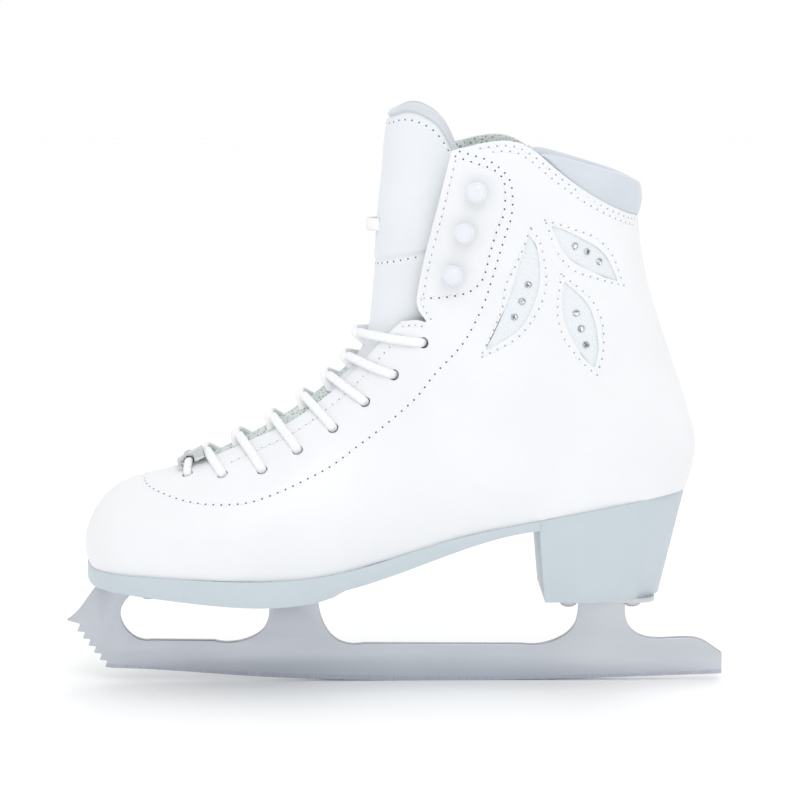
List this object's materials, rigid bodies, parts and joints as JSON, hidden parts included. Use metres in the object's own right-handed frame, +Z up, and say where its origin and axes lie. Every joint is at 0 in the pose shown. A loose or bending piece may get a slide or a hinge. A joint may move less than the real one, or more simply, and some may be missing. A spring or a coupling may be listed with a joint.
{
  "type": "figure skate",
  "caption": "Lace-up figure skate for the left foot: heeled leather boot with padded tongue and collar, lace hooks, and a blade with toe picks screwed to the sole",
  "frame": {"origin": "on the blade's middle plane at the height of its lowest point, half way along the blade", "axes": "X runs from the toe (-) to the heel (+), Y from the outer side (-) to the inner side (+), Z is up from the ice to the cuff"},
  "size_m": [0.2904, 0.0945, 0.2561],
  "materials": {
    "upper_leather": "smooth coated white leather",
    "lining_leather": "undyed lining leather",
    "board": "fibre board",
    "foam": "open cell foam",
    "mesh": "grey green knit mesh",
    "collar_cloth": "soft grey synthetic over foam",
    "sole_pu": "light grey blue moulded polyurethane",
    "blade_steel": "ground and polished tool steel",
    "plate_steel": "brushed steel",
    "screw_steel": "zinc plated steel",
    "chrome": "polished chrome",
    "hook_white": "white enamel",
    "eyelet_white": "white enamel",
    "lace_cotton": "braided white lace",
    "aglet_clear": "clear sleeve over the lace",
    "insert_glitter": "pale glitter sheet",
    "crystal": "faceted crystal",
    "footbed_cloth": "knit over foam"
  },
  "bodies": {
    "root": {"upper_shell": "upper_leather", "facing_lateral": "lining_leather", "facing_medial": "lining_leather", "toe_puff": "board", "heel_counter": "board", "ankle_padding": "foam", "lining": "mesh", "collar_pad": "collar_cloth", "insole_board": "board", "shank": "plate_steel", "footbed": "footbed_cloth", "sole_unit": "sole_pu", "leaf_insert_1": "insert_glitter", "leaf_insert_2": "insert_glitter", "leaf_insert_3": "insert_glitter", "crystals": "crystal", "blade_runner": "blade_steel", "front_plate": "plate_steel", "heel_plate": "plate_steel", "front_plate_screws": "screw_steel", "heel_plate_screws": "screw_steel", "eyelets_lateral": "eyelet_white", "eyelets_medial": "eyelet_white", "hooks_lateral": "hook_white", "hooks_medial": "hook_white", "hook_caps_lateral": "hook_white", "hook_caps_medial": "hook_white", "tongue_lower": "mesh", "lace_strand_1": "lace_cotton", "lace_strand_2": "lace_cotton", "lace_bar": "lace_cotton", "lace_tail_lateral": "lace_cotton", "lace_tail_medial": "lace_cotton", "lace_hank_lateral": "lace_cotton", "lace_hank_medial": "lace_cotton", "aglets": "aglet_clear"},
    "tongue": {"tongue_face": "upper_leather", "tongue_pad": "foam", "tongue_lining": "mesh", "lace_keeper": "lace_cotton"},
    "tag": {"lace_tag": "chrome"}
  },
  "joints": [
    {"name": "tongue_fold", "type": "hinge", "parent": "root", "child": "tongue", "pos_m": [-0.009, 0, 0.166], "axis": [0, -1, 0], "range_deg": [0, 45], "stiffness_Nm_per_rad": 0.3},
    {"name": "tag_slide", "type": "slide", "parent": "root", "child": "tag", "axis": [0, 1, 0], "range_m": [-0.0025, 0.0025]}
  ]
}
